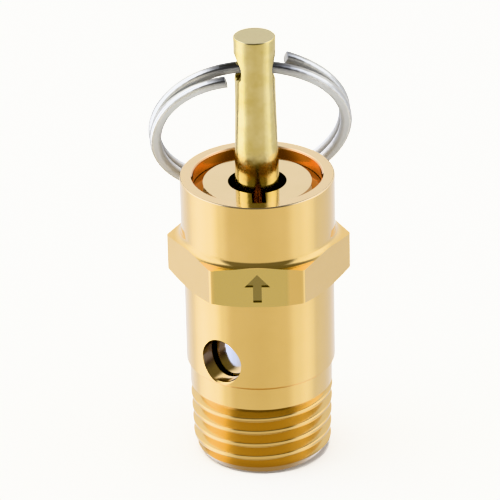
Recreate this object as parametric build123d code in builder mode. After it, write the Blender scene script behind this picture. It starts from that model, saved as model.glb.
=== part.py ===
from build123d import *
from math import atan, ceil, cos, degrees, radians, sin, tan
import os

# Spring-loaded pressure relief valve for compressed air, with a pull ring for
# testing it by hand.  Millimetres.  The valve stands on its axis, +Z up, with
# the origin at the centre of the inlet end face.  -Y is the side with the
# engraved flow arrow, and the pull ring hangs at +Y.

os.makedirs("parts", exist_ok=True)

# ---------------------------------------------------------------- driving dimensions

# inlet thread: 1/4 inch, 18 threads per inch, taper 1 in 16 on the diameter
thread_pitch = 25.4 / 18
thread_end_r = 6.63
thread_taper = 1 / 32
thread_depth = 0.86
thread_root_flat = 0.06
thread_crest_ease = 0.07
thread_flank_angle = 30
thread_ease_angle = 60
thread_first_root_z = -2.65
thread_top_z = 7.30
thread_end_chamfer = 0.73
thread_end_chamfer_height = 1.00
neck_r = 6.83

# outside of the body
shoulder_z = 9.50
shoulder_chamfer = 0.32
lower_r = 7.14
hex_across_flats = 15.10
hex_corner_r = 0.45
hex_bottom_z = 18.70
hex_top_z = 22.66
hex_bottom_slope = 19.5
hex_top_slope = 9.0
hex_root_r = 0.75
collar_r = 7.30
rim_z = 28.90
rim_edge_r = 0.14

# inside of the body
inlet_r = 3.25
inlet_chamfer = 0.45
inlet_bore_z = 7.20
throat_r = 2.75
seat_z = 9.90
seat_land = 0.45
seat_cone_r = 3.90
chamber_floor_z = 8.90
chamber_r = 5.65
thread_relief_z = 21.60
screw_bore_r = 6.10
rim_bore_chamfer = 0.14

# discharge holes, drilled straight through both walls
outlet_r = 2.17
outlet_z = 12.10
outlet_turn = -121.5
outlet_lip_start = 6.96

# flow arrow engraved in the front flat
arrow_depth = 0.20
arrow_height = 2.90
arrow_head = 1.30
arrow_half_head = 1.20
arrow_half_shaft = 0.40

# adjusting screw
screw_r = 6.05
screw_top_z = 28.18
screw_length = 3.40
screw_face_r = 5.12
screw_face_drop = 0.62
screw_end_chamfer = 0.35
screw_hole_r = 2.76
slot_width = 1.30
slot_depth = 2.00
slot_turn = 3.4

# upper spring seat
upper_seat_r = 5.25
upper_seat_thickness = 0.80
upper_seat_boss_r = 3.45
upper_seat_boss = 0.90
upper_seat_hole_r = 2.35

# disc holder and what it carries
holder_r = 5.30
holder_bottom_z = 9.30
holder_flange_z = 13.60
holder_boss_r = 3.45
holder_top_z = 15.00
holder_edge = 0.25
seal_r = 4.35
seal_thickness = 1.20
seal_pocket_r = 4.40
seal_hole_r = 0.98
washer_r = 2.00
washer_thickness = 0.40
washer_hole_r = 1.00
seal_screw_r = 0.93
seal_screw_tip_z = 12.40
seal_screw_head_r = 1.50
seal_screw_head = 0.80
seal_screw_slot = 0.40

# stem
stem_r = 2.07
stem_waist_r = 1.91
stem_waist_z = 38.80
stem_head_r = 1.97
stem_straight_z = 28.60
stem_top_z = 43.03
stem_top_edge = 0.10
stem_spigot_r = 1.58
stem_spigot_z = 12.75
stem_spigot_clearance = 0.10
ring_hole_r = 1.28
ring_hole_z = 40.00
ring_hole_turn = 9
ring_hole_lip_start = 1.78

# main spring, with one closed turn at each end
spring_wire_r = 0.50
spring_mean_r = 4.30
spring_active_turns = 4
spring_closed_pitch = 2 * spring_wire_r + 0.02

# pull ring: flattened wire wound twice round, in two layers
ring_mean_r = 9.07
ring_wire_radial = 1.14
ring_wire_axial = 0.94
ring_wire_edge = 0.40
ring_layer = 0.49
ring_pivot_z = 39.94
ring_lean = 27.8
ring_front_end = 18
ring_back_end = 20
ring_cross_half = 50
ring_cross_steps = 10
ring_end_spring = 60
ring_end_lift = 0.75
ring_end_steps = 6

# how far the cutters reach past the surfaces they break through
through = 0.5
thread_overcut = 0.15


# ---------------------------------------------------------------- helpers


def outline(*points):
    """A closed face of (radius, height) points, in the plane of the axis."""
    with BuildSketch(Plane.XZ) as half_section:
        with BuildLine():
            Polyline(*points, close=True)
        make_face()
    return half_section.sketch


def cross_hole(hole_r, height, turn, lip_start):
    """A cutter across the valve's axis, flared outside lip_start."""
    along = (cos(radians(turn)), sin(radians(turn)), 0)
    across = (sin(radians(turn)), -cos(radians(turn)), 0)
    reach = 2 * hex_across_flats
    flare_r = hole_r + reach - lip_start
    with BuildPart() as cutter:
        with BuildSketch(Plane(origin=(0, 0, height), x_dir=along, z_dir=across)):
            with BuildLine():
                Polyline(
                    (-reach, 0),
                    (-reach, flare_r),
                    (-lip_start, hole_r),
                    (lip_start, hole_r),
                    (reach, flare_r),
                    (reach, 0),
                    close=True,
                )
            make_face()
        revolve(axis=Axis((0, 0, height), along))
    return cutter.part


def coiled(section, mean_r, turns, rise, lefthand=False):
    """A section, drawn at mean_r in the XZ plane, wound up a helix."""
    with BuildPart() as coil:
        with BuildLine() as path:
            Helix(pitch=rise / turns, height=rise, radius=mean_r, lefthand=lefthand)
        add(section)
        sweep(path=path.line, is_frenet=True)
    return coil.part


# ---------------------------------------------------------------- valve body

# hexagon: a prism cut to a turned envelope, which bevels its corners and
# leaves a small concave root round the collar
hex_reach = hex_across_flats
hex_mid_r = hex_across_flats / 2
hex_bottom_rise = (hex_reach - hex_mid_r) * tan(radians(hex_bottom_slope))
hex_top_fall = (hex_reach - collar_r - hex_root_r) * tan(radians(hex_top_slope))
root_top_z = hex_top_z + hex_root_r

with BuildPart() as hex_blank:
    with BuildSketch(Plane.XY.offset(hex_bottom_z)) as hex_outline:
        RegularPolygon(radius=hex_mid_r, side_count=6, major_radius=False)
        fillet(hex_outline.vertices(), radius=hex_corner_r)
    extrude(amount=root_top_z - hex_bottom_z)
    with BuildSketch(Plane.XZ):
        with BuildLine():
            Polyline(
                (0, root_top_z),
                (0, hex_bottom_z),
                (hex_mid_r, hex_bottom_z),
                (hex_reach, hex_bottom_z + hex_bottom_rise),
                (hex_reach, hex_top_z - hex_top_fall),
                (collar_r + hex_root_r, hex_top_z),
            )
            RadiusArc(
                (collar_r + hex_root_r, hex_top_z),
                (collar_r, root_top_z),
                hex_root_r,
            )
            Line((collar_r, root_top_z), (0, root_top_z))
        make_face()
    revolve(axis=Axis.Z, mode=Mode.INTERSECT)

# height at which the tapered crest reaches the neck's diameter
crest_end_z = (neck_r - thread_end_r) / thread_taper
fill_start_r = thread_end_r - 2 * thread_depth
groove_turns = ceil((thread_top_z - thread_first_root_z) / thread_pitch)
groove_flank = thread_depth - thread_crest_ease
groove_half_root = thread_root_flat / 2
groove_half_flank = groove_half_root + groove_flank * tan(radians(thread_flank_angle))
groove_half_mouth = groove_half_flank + (thread_crest_ease + thread_overcut) * tan(radians(thread_ease_angle))


def groove_turn(start_z):
    """One turn of the thread's groove, starting on the +X side at start_z."""
    crest_r = thread_end_r + start_z * thread_taper
    with BuildPart() as turn:
        with BuildLine() as path:
            Helix(
                pitch=thread_pitch,
                height=thread_pitch,
                radius=crest_r,
                center=(0, 0, start_z),
                cone_angle=degrees(atan(thread_taper)),
            )
        with BuildSketch(Plane.XZ):
            with BuildLine():
                Polyline(
                    (crest_r - thread_depth, start_z - groove_half_root),
                    (crest_r - thread_depth, start_z + groove_half_root),
                    (crest_r - thread_crest_ease, start_z + groove_half_flank),
                    (crest_r + thread_overcut, start_z + groove_half_mouth),
                    (crest_r + thread_overcut, start_z - groove_half_mouth),
                    (crest_r - thread_crest_ease, start_z - groove_half_flank),
                    close=True,
                )
            make_face()
        sweep(path=path.line, is_frenet=True)
    return turn.part


with BuildPart() as valve_body:
    # thread blank
    revolve(
        outline(
            (0, 0),
            (thread_end_r - thread_end_chamfer, 0),
            (thread_end_r, thread_end_chamfer_height),
            (neck_r, crest_end_z),
            (neck_r, shoulder_z),
            (0, shoulder_z),
        ),
        axis=Axis.Z,
    )

    # tapered thread groove, run in below the end face and out above the top turn
    for turn in range(groove_turns):
        add(groove_turn(thread_first_root_z + turn * thread_pitch), mode=Mode.SUBTRACT)

    # neck, with the cone on which the last thread runs out
    revolve(
        outline(
            (0, thread_top_z - (neck_r - fill_start_r)),
            (fill_start_r, thread_top_z - (neck_r - fill_start_r)),
            (neck_r, thread_top_z),
            (neck_r, shoulder_z),
            (0, shoulder_z),
        ),
        axis=Axis.Z,
    )

    # lower body, and the collar with its rounded rim
    with BuildSketch(Plane.XZ):
        with BuildLine():
            Polyline(
                (0, rim_z),
                (0, shoulder_z),
                (lower_r - shoulder_chamfer, shoulder_z),
                (lower_r, shoulder_z + shoulder_chamfer),
                (lower_r, hex_bottom_z),
                (collar_r, hex_bottom_z),
                (collar_r, rim_z - rim_edge_r),
            )
            RadiusArc(
                (collar_r, rim_z - rim_edge_r),
                (collar_r - rim_edge_r, rim_z),
                -rim_edge_r,
            )
            Line((collar_r - rim_edge_r, rim_z), (0, rim_z))
        make_face()
    revolve(axis=Axis.Z)
    add(hex_blank.part)

    # inlet bore, raised seat, spring chamber and the bore of the adjusting screw
    revolve(
        outline(
            (0, -through),
            (inlet_r + inlet_chamfer, -through),
            (inlet_r + inlet_chamfer, 0),
            (inlet_r, inlet_chamfer),
            (inlet_r, inlet_bore_z),
            (throat_r, inlet_bore_z + inlet_r - throat_r),
            (throat_r, seat_z),
            (throat_r + seat_land, seat_z),
            (seat_cone_r, chamber_floor_z),
            (chamber_r - (seat_z - chamber_floor_z) / 2, chamber_floor_z),
            (chamber_r, (seat_z + chamber_floor_z) / 2),
            (chamber_r, thread_relief_z - (screw_bore_r - chamber_r)),
            (screw_bore_r, thread_relief_z),
            (screw_bore_r, rim_z - rim_bore_chamfer),
            (screw_bore_r + rim_bore_chamfer, rim_z),
            (screw_bore_r + rim_bore_chamfer, rim_z + through),
            (0, rim_z + through),
        ),
        axis=Axis.Z,
        mode=Mode.SUBTRACT,
    )

    # two discharge holes on one line, opened out a little at both mouths
    add(cross_hole(outlet_r, outlet_z, outlet_turn, outlet_lip_start), mode=Mode.SUBTRACT)

    # flow arrow, pointing up the axis
    arrow_base_z = (hex_bottom_z + hex_top_z - arrow_height) / 2
    arrow_neck_z = arrow_base_z + arrow_height - arrow_head
    with BuildSketch(Plane.XZ.offset(hex_mid_r - arrow_depth)):
        with BuildLine():
            Polyline(
                (-arrow_half_shaft, arrow_base_z),
                (arrow_half_shaft, arrow_base_z),
                (arrow_half_shaft, arrow_neck_z),
                (arrow_half_head, arrow_neck_z),
                (0, arrow_base_z + arrow_height),
                (-arrow_half_head, arrow_neck_z),
                (-arrow_half_shaft, arrow_neck_z),
                close=True,
            )
        make_face()
    extrude(amount=2 * arrow_depth, mode=Mode.SUBTRACT)

valve_body.part.label = "valve_body"
export_step(valve_body.part, "parts/valve_body.step")

# ---------------------------------------------------------------- adjusting screw

screw_bottom_z = screw_top_z - screw_length

with BuildPart() as adjusting_screw:
    revolve(
        outline(
            (screw_hole_r, screw_bottom_z),
            (screw_r - screw_end_chamfer, screw_bottom_z),
            (screw_r, screw_bottom_z + screw_end_chamfer),
            (screw_r, screw_top_z - screw_face_drop),
            (screw_face_r, screw_top_z),
            (screw_hole_r, screw_top_z),
        ),
        axis=Axis.Z,
    )
    with BuildSketch(Plane.XY.offset(screw_top_z)):
        Rectangle(slot_width, 4 * screw_r, rotation=slot_turn)
    extrude(amount=-slot_depth, mode=Mode.SUBTRACT)

adjusting_screw.part.label = "adjusting_screw"
export_step(adjusting_screw.part, "parts/adjusting_screw.step")

# ---------------------------------------------------------------- upper spring seat

spring_top_z = screw_bottom_z - upper_seat_thickness

with BuildPart() as upper_spring_seat:
    revolve(
        outline(
            (upper_seat_hole_r, spring_top_z - upper_seat_boss),
            (upper_seat_boss_r, spring_top_z - upper_seat_boss),
            (upper_seat_boss_r, spring_top_z),
            (upper_seat_r, spring_top_z),
            (upper_seat_r, screw_bottom_z),
            (upper_seat_hole_r, screw_bottom_z),
        ),
        axis=Axis.Z,
    )

upper_spring_seat.part.label = "upper_spring_seat"
export_step(upper_spring_seat.part, "parts/upper_spring_seat.step")

# ---------------------------------------------------------------- main spring

spring_rise = spring_top_z - holder_flange_z - 2 * spring_wire_r
active_rise = spring_rise - 2 * spring_closed_pitch

with BuildSketch(Plane.XZ) as spring_section:
    with Locations((spring_mean_r, 0)):
        Circle(spring_wire_r)

closed_turn = coiled(spring_section.sketch, spring_mean_r, 1, spring_closed_pitch)
active_turns = coiled(spring_section.sketch, spring_mean_r, spring_active_turns, active_rise)

with BuildPart() as spring:
    first_z = holder_flange_z + spring_wire_r
    with Locations((0, 0, first_z)):
        add(closed_turn)
    with Locations((0, 0, first_z + spring_closed_pitch)):
        add(active_turns)
    with Locations((0, 0, first_z + spring_closed_pitch + active_rise)):
        add(closed_turn)

spring.part.label = "spring"
export_step(spring.part, "parts/spring.step")

# ---------------------------------------------------------------- disc holder

seal_top_z = seat_z + seal_thickness
spigot_floor_z = stem_spigot_z - stem_spigot_clearance

with BuildPart() as disc_holder:
    revolve(
        outline(
            (seal_screw_r, seal_top_z),
            (seal_pocket_r, seal_top_z),
            (seal_pocket_r, holder_bottom_z),
            (holder_r - holder_edge, holder_bottom_z),
            (holder_r, holder_bottom_z + holder_edge),
            (holder_r, holder_flange_z - holder_edge),
            (holder_r - holder_edge, holder_flange_z),
            (holder_boss_r, holder_flange_z),
            (holder_boss_r, holder_top_z - holder_edge),
            (holder_boss_r - holder_edge, holder_top_z),
            (stem_spigot_r, holder_top_z),
            (stem_spigot_r, spigot_floor_z),
            (seal_screw_r, spigot_floor_z),
        ),
        axis=Axis.Z,
    )

disc_holder.part.label = "disc_holder"
export_step(disc_holder.part, "parts/disc_holder.step")

# ---------------------------------------------------------------- seal disc, washer and screw

with BuildPart() as seal_disc:
    revolve(
        outline(
            (seal_hole_r, seat_z),
            (seal_r, seat_z),
            (seal_r, seal_top_z),
            (seal_hole_r, seal_top_z),
        ),
        axis=Axis.Z,
    )

seal_disc.part.label = "seal_disc"
export_step(seal_disc.part, "parts/seal_disc.step")

washer_bottom_z = seat_z - washer_thickness

with BuildPart() as seal_washer:
    revolve(
        outline(
            (washer_hole_r, washer_bottom_z),
            (washer_r, washer_bottom_z),
            (washer_r, seat_z),
            (washer_hole_r, seat_z),
        ),
        axis=Axis.Z,
    )

seal_washer.part.label = "seal_washer"
export_step(seal_washer.part, "parts/seal_washer.step")

with BuildPart() as seal_screw:
    head_bottom_z = washer_bottom_z - seal_screw_head
    revolve(
        outline(
            (0, head_bottom_z),
            (seal_screw_head_r - holder_edge, head_bottom_z),
            (seal_screw_head_r, head_bottom_z + holder_edge),
            (seal_screw_head_r, washer_bottom_z),
            (seal_screw_r, washer_bottom_z),
            (seal_screw_r, seal_screw_tip_z),
            (0, seal_screw_tip_z),
        ),
        axis=Axis.Z,
    )
    with BuildSketch(Plane.XY.offset(head_bottom_z)):
        Rectangle(4 * seal_screw_head_r, seal_screw_slot)
    extrude(amount=seal_screw_slot, mode=Mode.SUBTRACT)

seal_screw.part.label = "seal_screw"
export_step(seal_screw.part, "parts/seal_screw.step")

# ---------------------------------------------------------------- stem

with BuildPart() as stem:
    with BuildSketch(Plane.XZ):
        with BuildLine():
            Polyline(
                (0, stem_spigot_z),
                (stem_spigot_r, stem_spigot_z),
                (stem_spigot_r, holder_top_z),
                (stem_r, holder_top_z),
                (stem_r, stem_straight_z),
            )
            Spline(
                (stem_r, stem_straight_z),
                (stem_waist_r, stem_waist_z),
                (stem_head_r, stem_top_z - stem_top_edge),
                tangents=((0, 1), (0, 1)),
            )
            Polyline(
                (stem_head_r, stem_top_z - stem_top_edge),
                (stem_head_r - stem_top_edge, stem_top_z),
                (0, stem_top_z),
                (0, stem_spigot_z),
            )
        make_face()
    revolve(axis=Axis.Z)

    # cross hole for the pull ring, opened out at both mouths
    add(cross_hole(ring_hole_r, ring_hole_z, ring_hole_turn, ring_hole_lip_start), mode=Mode.SUBTRACT)

stem.part.label = "stem"
export_step(stem.part, "parts/stem.step")

# ---------------------------------------------------------------- split ring

# wound flat about Z, with its top at +X, then stood up on its own plane
with BuildSketch(Plane.XZ) as wire_section:
    with Locations((ring_mean_r, 0)):
        RectangleRounded(ring_wire_radial, ring_wire_axial, ring_wire_edge)


def wire_height(angle):
    """Height of the wire's centre over the ring's middle, at an angle from the crossing.

    Positive angles wind on through the front layer, negative ones through the back
    layer, and each layer springs away from the other towards its end.
    """
    side, end = (-1, ring_front_end) if angle > 0 else (1, ring_back_end)
    turned = abs(angle)
    if turned < ring_cross_half:
        return side * ring_layer * sin(radians(90 * turned / ring_cross_half))
    sprung = max(0, turned - (360 - end - ring_end_spring)) / ring_end_spring
    return side * (ring_layer + ring_end_lift * sprung**2)


def wire_piece(start, end):
    """A short helical piece of the ring's wire between two angles."""
    rise = wire_height(end) - wire_height(start)
    foot = start if rise > 0 else end
    piece = coiled(wire_section.sketch, ring_mean_r, (end - start) / 360, abs(rise), rise < 0)
    return Location((0, 0, wire_height(foot)), (0, 0, foot)) * piece


def flat_piece(start, end):
    """A level arc of the ring's wire between two angles."""
    with BuildPart() as arc:
        add(wire_section.sketch)
        revolve(axis=Axis.Z, revolution_arc=end - start)
    return Location((0, 0, wire_height((start + end) / 2)), (0, 0, start)) * arc.part


def wire_pieces(start, end, steps):
    """Helical pieces that share the stretch between two angles."""
    step = (end - start) / steps
    return [wire_piece(start + step * i, start + step * (i + 1)) for i in range(steps)]


front_spring = 360 - ring_front_end - ring_end_spring
back_spring = 360 - ring_back_end - ring_end_spring

with BuildPart() as flat_ring:
    add(wire_pieces(-back_spring - ring_end_spring, -back_spring, ring_end_steps))
    add(flat_piece(-back_spring, -ring_cross_half))
    add(wire_pieces(-ring_cross_half, ring_cross_half, ring_cross_steps))
    add(flat_piece(ring_cross_half, front_spring))
    add(wire_pieces(front_spring, front_spring + ring_end_spring, ring_end_steps))

# the ring turns with its hole, and leans back on the collar
lean = radians(ring_lean)
ring_turn = Rotation(0, 0, ring_hole_turn)
ring_up = Vector(0, -sin(lean), cos(lean))
ring_plane = Plane(
    origin=Vector(0, 0, ring_pivot_z) - ring_up * ring_mean_r,
    x_dir=ring_up,
    z_dir=(0, cos(lean), sin(lean)),
)

with BuildPart() as split_ring:
    with Locations(ring_turn * ring_plane.location):
        add(flat_ring.part)

split_ring.part.label = "split_ring"
export_step(split_ring.part, "parts/split_ring.step")
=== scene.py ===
import math

import bmesh
import bpy
from mathutils import Matrix, Vector


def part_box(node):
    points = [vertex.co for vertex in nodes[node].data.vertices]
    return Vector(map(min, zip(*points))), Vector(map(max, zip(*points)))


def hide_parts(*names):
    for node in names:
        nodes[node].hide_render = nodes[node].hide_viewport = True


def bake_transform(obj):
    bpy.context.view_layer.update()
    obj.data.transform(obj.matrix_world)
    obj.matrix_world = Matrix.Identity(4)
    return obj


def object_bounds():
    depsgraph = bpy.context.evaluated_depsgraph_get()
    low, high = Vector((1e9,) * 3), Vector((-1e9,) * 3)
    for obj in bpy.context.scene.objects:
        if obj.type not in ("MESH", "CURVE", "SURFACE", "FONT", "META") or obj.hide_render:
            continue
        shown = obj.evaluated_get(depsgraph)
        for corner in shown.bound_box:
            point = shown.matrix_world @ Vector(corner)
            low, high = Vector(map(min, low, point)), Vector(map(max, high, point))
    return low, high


# A brass pressure relief valve with a pull ring, standing on a pale floor.
# Metres, in the frame of the CAD model: +Z up the valve's axis, -Y its front.

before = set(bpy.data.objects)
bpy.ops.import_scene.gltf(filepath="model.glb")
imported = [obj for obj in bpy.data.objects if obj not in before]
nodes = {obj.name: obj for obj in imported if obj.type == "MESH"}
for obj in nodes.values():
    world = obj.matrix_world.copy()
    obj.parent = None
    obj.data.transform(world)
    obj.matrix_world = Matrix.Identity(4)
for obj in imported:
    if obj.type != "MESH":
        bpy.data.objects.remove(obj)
cad_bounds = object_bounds()

MM = 0.001

# ---------------------------------------------------------------- camera

CAMERA_DISTANCE = 350 * MM
CAMERA_ELEVATION = math.radians(27.2)
CAMERA_AZIMUTH = math.radians(1.8)
CAMERA_ROLL = math.radians(1.33)
CAMERA_AIM = Vector((-0.83 * MM, 0.0, 20.86 * MM))
CAMERA_LENS = 266.1
CAMERA_SENSOR = 36.0


def add_camera():
    """A long lens, looking down a little at the front of the valve."""
    data = bpy.data.cameras.new("camera")
    data.lens = CAMERA_LENS
    data.sensor_width = CAMERA_SENSOR
    data.clip_start = 0.01
    data.clip_end = 20
    camera = bpy.data.objects.new("camera", data)
    bpy.context.scene.collection.objects.link(camera)
    flat = math.cos(CAMERA_ELEVATION)
    back = Vector(
        (
            math.sin(CAMERA_AZIMUTH) * flat,
            -math.cos(CAMERA_AZIMUTH) * flat,
            math.sin(CAMERA_ELEVATION),
        )
    )
    right = Vector((0, 0, 1)).cross(back).normalized()
    up = back.cross(right)
    turned_right = right * math.cos(CAMERA_ROLL) - up * math.sin(CAMERA_ROLL)
    turned_up = up * math.cos(CAMERA_ROLL) + right * math.sin(CAMERA_ROLL)
    turn = Matrix((turned_right, turned_up, back)).transposed()
    camera.matrix_world = Matrix.Translation(CAMERA_AIM + back * CAMERA_DISTANCE) @ turn.to_4x4()
    bpy.context.scene.camera = camera


# ---------------------------------------------------------------- floor and surroundings


FLOOR_HALF_SIDE = 3.0
FLOOR_COLOUR = (0.93, 0.915, 0.86, 1)
FLOOR_ROUGHNESS = 0.9


def add_floor():
    """A wide pale floor at the foot of the valve, which the metal doesn't mirror."""
    height = cad_bounds[0][2]
    mesh = bpy.data.meshes.new("floor")
    ways = ((-1, -1), (1, -1), (1, 1), (-1, 1))
    corners = [(x * FLOOR_HALF_SIDE, y * FLOOR_HALF_SIDE, height) for x, y in ways]
    mesh.from_pydata(corners, [], [(0, 1, 2, 3)])
    floor = bpy.data.objects.new("floor", mesh)
    bpy.context.scene.collection.objects.link(floor)
    paper = bpy.data.materials.new("floor_paper")
    paper.use_nodes = True
    shader = paper.node_tree.nodes["Principled BSDF"]
    shader.inputs["Base Color"].default_value = FLOOR_COLOUR
    shader.inputs["Roughness"].default_value = FLOOR_ROUGHNESS
    mesh.materials.append(paper)
    floor.visible_glossy = False


# brightness of the surroundings by compass angle in degrees, 0 at the front and
# 90 on the right: below the horizon, and above it
LOW_LEVELS = [
    (-180, 0.92),
    (-125, 0.95),
    (-94, 2.70),
    (-76, 2.40),
    (-58, 1.05),
    (-40, 0.82),
    (0, 0.77),
    (40, 0.83),
    (62, 1.08),
    (78, 1.30),
    (100, 0.86),
    (130, 0.82),
    (180, 0.92),
]
HIGH_LEVELS = [
    (-180, 0.95),
    (-130, 1.20),
    (-95, 2.80),
    (-65, 1.80),
    (-45, 0.22),
    (45, 0.20),
    (65, 1.40),
    (90, 2.20),
    (130, 1.00),
    (180, 0.95),
]
OVERHEAD = (0.18, 0.18, 0.18)
UNDERFOOT = (0.54, 0.45, 0.33)
# heights of a direction, -1 straight down and 1 straight up, between which they change over
UNDERFOOT_HEIGHTS = (-0.95, -0.70)
HORIZON_HEIGHTS = (-0.15, 0.15)
OVERHEAD_HEIGHTS = (0.65, 0.92)
# the panels to the left and right are cooler than what stands in front and behind
DAYLIGHT = (0.97, 1.05, 1.30)
FRONT_ENDS = (35, 65)
BACK_STARTS = (115, 155)


def rising(value, low, high):
    """0 below low, 1 above high, and straight between them."""
    return min(1, max(0, (value - low) / (high - low)))


def panel_colour(angle, level):
    """The colour of the surroundings at a compass angle."""
    share = rising(abs(angle), *FRONT_ENDS) * (1 - rising(abs(angle), *BACK_STARTS))
    return [level * (1 + share * (tone - 1)) for tone in DAYLIGHT] + [1]


def add_sky():
    """Soft studio surroundings: light panels left and right, dark overhead and high in front."""
    world = bpy.data.worlds.new("studio")
    bpy.context.scene.world = world
    world.use_nodes = True
    tree = world.node_tree
    background = tree.nodes["Background"]

    def calculate(operation, *values):
        node = tree.nodes.new("ShaderNodeMath")
        node.operation = operation
        for value, socket in zip(values, node.inputs):
            if isinstance(value, (int, float)):
                socket.default_value = value
            else:
                tree.links.new(value, socket)
        return node.outputs[0]

    def levels(turn, stops):
        """The brightness that the stops give, all round."""
        ramp = tree.nodes.new("ShaderNodeValToRGB")
        ramp.color_ramp.interpolation = "EASE"
        elements = ramp.color_ramp.elements
        while len(elements) < len(stops):
            elements.new(0.5)
        for element, (angle, level) in zip(elements, stops):
            element.position = 0.5 + angle / 360
            element.color = panel_colour(angle, level)
        tree.links.new(turn, ramp.inputs[0])
        return ramp.outputs[0]

    def change_over(heights, first, second):
        """First below the lower height, second above the higher one."""
        rise = tree.nodes.new("ShaderNodeMapRange")
        rise.interpolation_type = "SMOOTHSTEP"
        tree.links.new(height, rise.inputs[0])
        rise.inputs["From Min"].default_value, rise.inputs["From Max"].default_value = heights
        mix = tree.nodes.new("ShaderNodeMix")
        mix.data_type = "RGBA"
        tree.links.new(rise.outputs[0], mix.inputs["Factor"])
        for source, socket in ((first, mix.inputs[6]), (second, mix.inputs[7])):
            if isinstance(source, tuple):
                socket.default_value = (*source, 1)
            else:
                tree.links.new(source, socket)
        return mix.outputs[2]

    split = tree.nodes.new("ShaderNodeSeparateXYZ")
    tree.links.new(tree.nodes.new("ShaderNodeTexCoord").outputs["Generated"], split.inputs[0])
    across, along, height = split.outputs
    compass = calculate("ARCTAN2", across, calculate("MULTIPLY", along, -1))
    turn = calculate("MULTIPLY_ADD", compass, 0.5 / math.pi, 0.5)
    low = change_over(UNDERFOOT_HEIGHTS, UNDERFOOT, levels(turn, LOW_LEVELS))
    sides = change_over(HORIZON_HEIGHTS, low, levels(turn, HIGH_LEVELS))
    all_round = change_over(OVERHEAD_HEIGHTS, sides, OVERHEAD)
    tree.links.new(all_round, background.inputs["Color"])


SOFTBOX_SIDE = 0.8
SOFTBOX_WATTS = 26.0
SOFTBOX_PLACE = (-0.15, 0.10, 0.80)


def add_softbox():
    """A wide softbox overhead that lights the floor and isn't mirrored in the metal."""
    data = bpy.data.lights.new("softbox", "AREA")
    data.size = SOFTBOX_SIDE
    data.energy = SOFTBOX_WATTS
    box = bpy.data.objects.new("softbox", data)
    bpy.context.scene.collection.objects.link(box)
    box.location = SOFTBOX_PLACE
    box.visible_camera = False
    box.visible_glossy = False


# ---------------------------------------------------------------- materials


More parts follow.
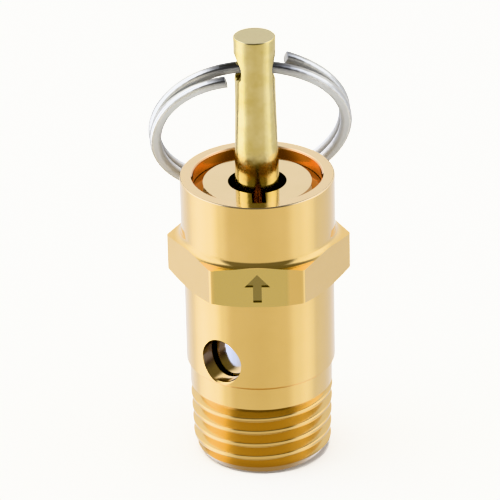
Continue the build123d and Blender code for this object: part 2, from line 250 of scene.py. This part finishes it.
class Nodes:
    """A new material's node tree, with short ways to add to it."""

    def __init__(self, name):
        self.material = bpy.data.materials.new(name)
        self.material.use_nodes = True
        self.tree = self.material.node_tree
        self.shader = self.tree.nodes["Principled BSDF"]
        self.point = self.add("ShaderNodeTexCoord").outputs["Object"]
        split = self.add("ShaderNodeSeparateXYZ")
        self.feed(self.point, split.inputs[0])
        self.x, self.y, self.z = split.outputs
        self.radius = self.length(self.x, self.y)

    def add(self, kind, **values):
        node = self.tree.nodes.new(kind)
        for key, value in values.items():
            setattr(node, key, value)
        return node

    def feed(self, source, socket):
        if isinstance(source, (int, float, tuple)):
            socket.default_value = source
        else:
            self.tree.links.new(source, socket)

    def math(self, operation, *values):
        node = self.add("ShaderNodeMath", operation=operation)
        for value, socket in zip(values, node.inputs):
            self.feed(value, socket)
        return node.outputs[0]

    def length(self, first, second):
        squares = self.math("ADD", self.math("POWER", first, 2), self.math("POWER", second, 2))
        return self.math("SQRT", squares)

    def noise(self, vector, size, detail=2.0, rough=0.5):
        node = self.add("ShaderNodeTexNoise")
        self.feed(vector, node.inputs["Vector"])
        node.inputs["Scale"].default_value = 1 / size
        node.inputs["Detail"].default_value = detail
        node.inputs["Roughness"].default_value = rough
        return node.outputs["Fac"]

    def spread(self, value, low, high, to_low=0.0, to_high=1.0):
        node = self.add("ShaderNodeMapRange")
        for number, socket in zip((value, low, high, to_low, to_high), node.inputs):
            self.feed(number, socket)
        return node.outputs["Result"]

    def above(self, value, edge, soft=0.04 * MM):
        """1 where value is over the edge, 0 where it is under."""
        return self.spread(value, edge - soft / 2, edge + soft / 2)

    def below(self, value, edge, soft=0.04 * MM):
        """1 where value is under the edge, 0 where it is over."""
        return self.math("SUBTRACT", 1, self.above(value, edge, soft))

    def within(self, value, low, high, soft=0.04 * MM):
        """1 where value lies between low and high."""
        return self.math("MULTIPLY", self.above(value, low, soft), self.below(value, high, soft))

    def all_of(self, first, *others):
        """1 where every mask is 1."""
        for other in others:
            first = self.math("MULTIPLY", first, other)
        return first

    def dot(self, vector, direction):
        node = self.add("ShaderNodeVectorMath", operation="DOT_PRODUCT")
        self.feed(vector, node.inputs[0])
        node.inputs[1].default_value = direction
        return node.outputs["Value"]

    def blend(self, amount, first, second):
        """The first colour where amount is 0, the second where it is 1."""
        node = self.add("ShaderNodeMix", data_type="RGBA")
        self.feed(amount, node.inputs["Factor"])
        for source, socket in ((first, node.inputs[6]), (second, node.inputs[7])):
            self.feed((*source, 1) if isinstance(source, tuple) else source, socket)
        return node.outputs[2]

    def bump(self, height, strength, distance, normal=None):
        node = self.add("ShaderNodeBump")
        node.inputs["Strength"].default_value = strength
        node.inputs["Distance"].default_value = distance
        self.feed(height, node.inputs["Height"])
        if normal is not None:
            self.feed(normal, node.inputs["Normal"])
        return node.outputs["Normal"]

    def patches(self, size):
        """Soft patches, 0 to 1, for colour that drifts over a surface."""
        return self.spread(self.noise(self.point, size, 3.0, 0.6), 0.3, 0.7)

    def turning_lines(self, width):
        """Noise that is the same all round the Z axis, like the marks of a lathe tool."""
        lathe = self.add("ShaderNodeCombineXYZ")
        self.feed(self.radius, lathe.inputs[0])
        self.feed(self.z, lathe.inputs[2])
        return self.noise(lathe.outputs[0], width, 3.0, 0.6)

    def metal(self, colour, roughness, normal):
        """The finished material, as a metal."""
        self.shader.inputs["Metallic"].default_value = 1.0
        self.feed(colour, self.shader.inputs["Base Color"])
        self.feed(roughness, self.shader.inputs["Roughness"])
        self.feed(normal, self.shader.inputs["Normal"])
        return self.material

    def lacquer(self, weight, roughness):
        """A thin clear coat."""
        self.shader.inputs["Coat Weight"].default_value = weight
        self.shader.inputs["Coat Roughness"].default_value = roughness
        self.shader.inputs["Coat IOR"].default_value = 1.5


# places on the valve body, from part.py: the thread's crests and its end
CREST_AT_FOOT = 6.63 * MM
CREST_AT_TOP = 6.83 * MM
THREAD_TOP = 7.3 * MM
# the flat with the arrow: the arrow's cut lies between these two distances from the axis
FLAT_FRONT = 7.2 * MM
FLAT_FACE = 7.52 * MM
FLAT_HEIGHTS = (18.75 * MM, 22.74 * MM)
PANEL_SIDES = (-4.1 * MM, 2.9 * MM)
ARROW_SIDES = (-1.3 * MM, 1.3 * MM)
# the rim, and the bore over the adjusting screw
RIM_FACE = 28.82 * MM
BORE_RADIUS = 6.2 * MM
BORE_FOOT = 24 * MM
# the discharge holes, which run straight through
HOLE_TURN = math.radians(-121.5)
HOLE_HEIGHT = 12.10 * MM
HOLE_RADIUS = 2.3 * MM
HOLE_SHADE_HEIGHT = 10.8 * MM
BODY_RADIUS = 7.0 * MM


def body_brass():
    """Bright turned brass, with a duller panel round the arrow, and painted shade in the thread, the
    sunken arrow, the bore and the drilled holes.
    """
    made = Nodes("body_brass")
    colour = made.blend(made.patches(4 * MM), (0.88, 0.575, 0.170), (0.91, 0.600, 0.190))

    # painted shade: the thread is painted deeper in colour, its grooves darker still, and its lead-in at
    # the foot darker; its grooves are also less smooth
    crest = made.spread(made.z, 0, THREAD_TOP, CREST_AT_FOOT, CREST_AT_TOP)
    sunken = made.spread(made.math("SUBTRACT", crest, made.radius), 0.01 * MM, 0.15 * MM)
    in_thread = made.within(made.z, -1 * MM, THREAD_TOP - 0.1 * MM, 0.3 * MM)
    groove = made.all_of(sunken, in_thread)
    colour = made.blend(in_thread, colour, (0.82, 0.53, 0.16))
    colour = made.blend(groove, colour, (0.74, 0.49, 0.16))
    lead_in = made.all_of(in_thread, made.below(made.z, 1.0 * MM, 0.2 * MM))
    colour = made.blend(lead_in, colour, (0.60, 0.38, 0.12))

    # the flat with the arrow
    front = made.above(made.math("MULTIPLY", made.y, -1), FLAT_FRONT)
    on_flat = made.all_of(front, made.within(made.z, *FLAT_HEIGHTS))
    panel = made.all_of(on_flat, made.within(made.x, *PANEL_SIDES, 0.3 * MM))
    colour = made.blend(panel, colour, (0.76, 0.55, 0.16))
    # painted shade: the sunken arrow is painted dark
    sunk = made.within(made.y, -FLAT_FACE, -FLAT_FRONT, 0.02 * MM)
    arrow = made.all_of(sunk, on_flat, made.within(made.x, *ARROW_SIDES))
    colour = made.blend(arrow, colour, (0.36, 0.26, 0.07))

    # the faced rim, and painted shade on the wall of the bore over the adjusting screw
    colour = made.blend(made.above(made.z, RIM_FACE, 0.06 * MM), colour, (0.88, 0.67, 0.38))
    mouth = made.all_of(made.below(made.radius, BORE_RADIUS), made.above(made.z, BORE_FOOT))
    colour = made.blend(mouth, colour, (0.80, 0.43, 0.16))

    # painted shade: the walls of the discharge holes, dark except at the bottom
    beside = made.math(
        "SUBTRACT",
        made.math("MULTIPLY", made.x, math.sin(HOLE_TURN)),
        made.math("MULTIPLY", made.y, math.cos(HOLE_TURN)),
    )
    from_hole_axis = made.length(beside, made.math("SUBTRACT", made.z, HOLE_HEIGHT))
    side_wall = made.all_of(
        made.below(from_hole_axis, HOLE_RADIUS),
        made.below(made.radius, BODY_RADIUS, 0.1 * MM),
        made.above(made.z, HOLE_SHADE_HEIGHT, 0.6 * MM),
    )
    colour = made.blend(side_wall, colour, (0.30, 0.19, 0.11))

    lines = made.turning_lines(0.09 * MM)
    roughness = made.spread(lines, 0.3, 0.7, 0.09, 0.14)
    for area, extra in ((panel, 0.10), (side_wall, 0.12), (groove, 0.10)):
        roughness = made.math("MULTIPLY_ADD", area, extra, roughness)
    made.lacquer(1.0, 0.06)
    return made.metal(colour, roughness, made.bump(lines, 0.6, 0.0008 * MM))


# places on the adjusting screw: the inner edge of its bevel, and its slot under its face
BEVEL_RADIUS = 5.13 * MM
SLOT_RADIUS = 5.10 * MM
SLOT_TOP = 28.12 * MM


def screw_brass():
    """Mirror turned brass, pale on its face, with painted shade making it deeper on its bevel and dark
    in its slot.
    """
    made = Nodes("screw_brass")
    face = made.blend(made.patches(4 * MM), (0.86, 0.69, 0.43), (0.89, 0.72, 0.46))
    # painted shade: the bevel is painted deeper and the slot dark
    colour = made.blend(made.above(made.radius, BEVEL_RADIUS), face, (0.50, 0.27, 0.10))
    in_slot = made.all_of(made.below(made.z, SLOT_TOP, 0.06 * MM), made.below(made.radius, SLOT_RADIUS))
    colour = made.blend(in_slot, colour, (0.20, 0.11, 0.05))
    lines = made.turning_lines(0.07 * MM)
    roughness = made.spread(lines, 0.3, 0.7, 0.05, 0.08)
    return made.metal(colour, roughness, made.bump(lines, 0.6, 0.0004 * MM))


STEM_TOP = 43.0 * MM


def stem_brass():
    """Tumbled brass with a slightly wavy, blotchy surface and a dull sawn top."""
    made = Nodes("stem_brass")
    blotch = made.spread(made.noise(made.point, 2.2 * MM, 3.0, 0.6), 0.35, 0.65)
    colour = made.blend(blotch, (0.72, 0.55, 0.19), (0.80, 0.64, 0.29))
    top = made.above(made.z, STEM_TOP, 0.02 * MM)
    colour = made.blend(top, colour, (0.72, 0.63, 0.38))
    grain = made.noise(made.point, 0.25 * MM, 3.0, 0.6)
    roughness = made.spread(grain, 0.3, 0.7, 0.14, 0.24)
    roughness = made.math("MULTIPLY_ADD", top, 0.2, roughness)
    wave = made.bump(made.noise(made.point, 1.3 * MM, 1.0, 0.4), 1.0, 0.03 * MM)
    return made.metal(colour, roughness, made.bump(grain, 0.5, 0.001 * MM, wave))


# the ring at rest, from part.py: how it leans back, how it is turned, and its wire's mean radius
RING_LEAN = math.radians(27.8)
RING_TURN = math.radians(9)
RING_PIVOT = Vector((0, 0, 39.94 * MM))
RING_RADIUS = 9.07 * MM
# where its satin part begins and is full, by radius, and its painted dark reflection, by distance from
# the stem's axis
SATIN_RADII = (9.50 * MM, 9.25 * MM)
DARK_REFLECTION_DISTANCES = (5.5 * MM, 3.0 * MM)


def plated_steel():
    """Nickel plate: bright round the outside, satin elsewhere, with a painted dark reflection either
    side of the stem.
    """
    made = Nodes("plated_steel")
    ring_up = Vector(
        (
            math.sin(RING_LEAN) * math.sin(RING_TURN),
            -math.sin(RING_LEAN) * math.cos(RING_TURN),
            math.cos(RING_LEAN),
        )
    )
    ring_centre = RING_PIVOT - ring_up * RING_RADIUS
    across = made.dot(made.point, (math.cos(RING_TURN), math.sin(RING_TURN), 0))
    upward = made.math("SUBTRACT", made.dot(made.point, ring_up), ring_centre.dot(ring_up))
    inner = made.spread(made.length(across, upward), *SATIN_RADII)
    colour = made.blend(made.patches(2 * MM), (0.62, 0.585, 0.49), (0.72, 0.675, 0.565))
    colour = made.blend(inner, colour, (0.38, 0.38, 0.375))
    # painted reflection: the wire is painted dark either side of the stem, on the half towards the stem
    near_stem = made.spread(made.math("ABSOLUTE", across), *DARK_REFLECTION_DISTANCES)
    painted_dark_reflection = made.all_of(near_stem, made.above(upward, 0))
    colour = made.blend(painted_dark_reflection, colour, (0.30, 0.29, 0.27))
    grain = made.noise(made.point, 0.15 * MM, 3.0, 0.6)
    roughness = made.spread(grain, 0.3, 0.7, 0.13, 0.19)
    roughness = made.math("MULTIPLY_ADD", inner, 0.35, roughness)
    made.metal(colour, roughness, made.bump(grain, 0.5, 0.001 * MM))
    made.feed(made.math("MULTIPLY_ADD", inner, -0.85, 1), made.shader.inputs["Metallic"])
    return made.material


def steel(name, light, dark, roughness, grain_size, grain_depth):
    """Plain bright steel with a fine grain."""
    made = Nodes(name)
    colour = made.blend(made.patches(3 * MM), dark, light)
    grain = made.noise(made.point, grain_size, 3.0, 0.6)
    rough = made.spread(grain, 0.3, 0.7, roughness * 0.8, roughness * 1.2)
    return made.metal(colour, rough, made.bump(grain, 0.5, grain_depth))


def seal_rubber():
    """Dull black moulded rubber."""
    made = Nodes("seal_rubber")
    grain = made.noise(made.point, 0.1 * MM, 3.0)
    colour = made.blend(grain, (0.012, 0.011, 0.011), (0.035, 0.032, 0.030))
    made.feed(colour, made.shader.inputs["Base Color"])
    made.shader.inputs["Roughness"].default_value = 0.65
    made.feed(made.bump(grain, 0.4, 0.01 * MM), made.shader.inputs["Normal"])
    return made.material


def give(material, *names):
    """Put one material on every slot of these CAD nodes."""
    for name in names:
        for slot in nodes[name].material_slots:
            slot.material = material


# ---------------------------------------------------------------- the spring


WELD_DISTANCE = 1e-7
CUT_GAP = 0.001 * MM


def spring_part(name, low, high, material):
    """The spring between two heights, cut off and closed at both, as an object of its own."""
    mesh = nodes["spring"].data.copy()
    part = bmesh.new()
    part.from_mesh(mesh)
    bmesh.ops.remove_doubles(part, verts=part.verts, dist=WELD_DISTANCE)
    for height, facing in ((low, -1), (high, 1)):
        cut = bmesh.ops.bisect_plane(
            part,
            geom=part.verts[:] + part.edges[:] + part.faces[:],
            plane_co=(0, 0, height),
            plane_no=(0, 0, facing),
            clear_outer=True,
        )
        edges = [piece for piece in cut["geom_cut"] if isinstance(piece, bmesh.types.BMEdge)]
        bmesh.ops.holes_fill(part, edges=edges, sides=0)
    part.to_mesh(mesh)
    part.free()
    mesh.materials.clear()
    mesh.materials.append(material)
    piece = bpy.data.objects.new(name, mesh)
    bpy.context.scene.collection.objects.link(piece)
    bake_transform(piece)
    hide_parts("spring")


def add_spring():
    """The spring in two parts, the lower for the stem's travel and the upper for the screw's."""
    light, dark = (0.60, 0.60, 0.61), (0.50, 0.50, 0.52)
    material = steel("spring_steel", light, dark, 0.25, 0.15 * MM, 0.001 * MM)
    foot, top = (corner[2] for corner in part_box("spring"))
    # the foot travels 2 mm and the top 1 mm, so the lower part is twice as long
    middle = foot + (top - foot) * 2 / 3
    spring_part("spring_lower", foot, middle - CUT_GAP, material)
    spring_part("spring_upper", middle + CUT_GAP, top, material)


# ---------------------------------------------------------------- the scene

bpy.context.scene.view_settings.view_transform = "Khronos PBR Neutral"
add_camera()
add_floor()
add_sky()
add_softbox()

give(body_brass(), "valve_body")
give(screw_brass(), "adjusting_screw")
give(stem_brass(), "stem")
give(plated_steel(), "split_ring")
give(
    steel("bright_steel", (0.80, 0.80, 0.82), (0.70, 0.70, 0.73), 0.14, 0.08 * MM, 0.001 * MM),
    "disc_holder",
    "upper_spring_seat",
    "seal_washer",
    "seal_screw",
)
give(seal_rubber(), "seal_disc")
add_spring()
